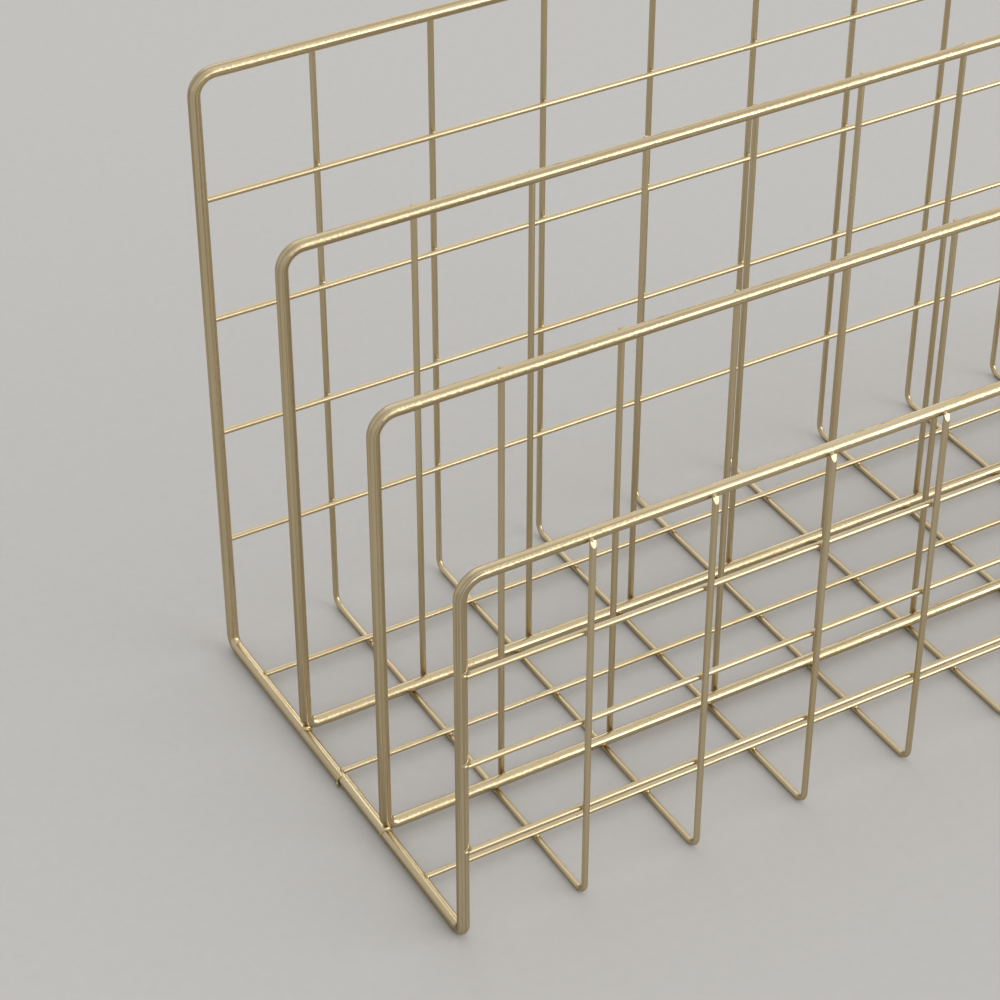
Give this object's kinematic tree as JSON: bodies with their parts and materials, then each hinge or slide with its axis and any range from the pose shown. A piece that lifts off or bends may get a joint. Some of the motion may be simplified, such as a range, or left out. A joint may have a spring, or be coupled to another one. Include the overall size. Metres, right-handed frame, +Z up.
{
  "type": "letter rack",
  "caption": "Open letter rack of welded brass-finished wire: stepped grid front, dividers and back form standing slots for letters and papers.",
  "frame": {"origin": "centre of the footprint, on the surface the rack stands on", "axes": "+X along the rack's length, -Y towards the low front panel, +Z up"},
  "size_m": [0.3274, 0.147, 0.1937],
  "materials": {
    "frame_wire": "satin brass plate over drawn steel wire, with fine draw lines along the wire",
    "mesh_wire": "satin brass plate over drawn steel wire, with fine draw lines along the wire"
  },
  "bodies": {
    "root": {"front_hoop": "frame_wire", "back_hoop": "frame_wire", "front_divider_ring": "frame_wire", "rear_divider_ring": "frame_wire", "mesh_u_wire_1": "mesh_wire", "mesh_u_wire_2": "mesh_wire", "mesh_u_wire_3": "mesh_wire", "mesh_u_wire_4": "mesh_wire", "mesh_u_wire_5": "mesh_wire", "mesh_u_wire_6": "mesh_wire", "mesh_u_wire_7": "mesh_wire", "mesh_u_wire_8": "mesh_wire", "front_divider_wire_1": "mesh_wire", "front_divider_wire_2": "mesh_wire", "front_divider_wire_3": "mesh_wire", "front_divider_wire_4": "mesh_wire", "front_divider_wire_5": "mesh_wire", "front_divider_wire_6": "mesh_wire", "front_divider_wire_7": "mesh_wire", "front_divider_wire_8": "mesh_wire", "rear_divider_wire_1": "mesh_wire", "rear_divider_wire_2": "mesh_wire", "rear_divider_wire_3": "mesh_wire", "rear_divider_wire_4": "mesh_wire", "rear_divider_wire_5": "mesh_wire", "rear_divider_wire_6": "mesh_wire", "rear_divider_wire_7": "mesh_wire", "rear_divider_wire_8": "mesh_wire", "back_cross_wire_1": "mesh_wire", "back_cross_wire_2": "mesh_wire", "back_cross_wire_3": "mesh_wire", "back_cross_wire_4": "mesh_wire", "front_cross_wire_1": "mesh_wire", "front_cross_wire_2": "mesh_wire", "front_cross_wire_3": "mesh_wire", "base_cross_wire_1": "mesh_wire", "base_cross_wire_2": "mesh_wire", "base_cross_wire_3": "mesh_wire"}
  },
  "joints": []
}
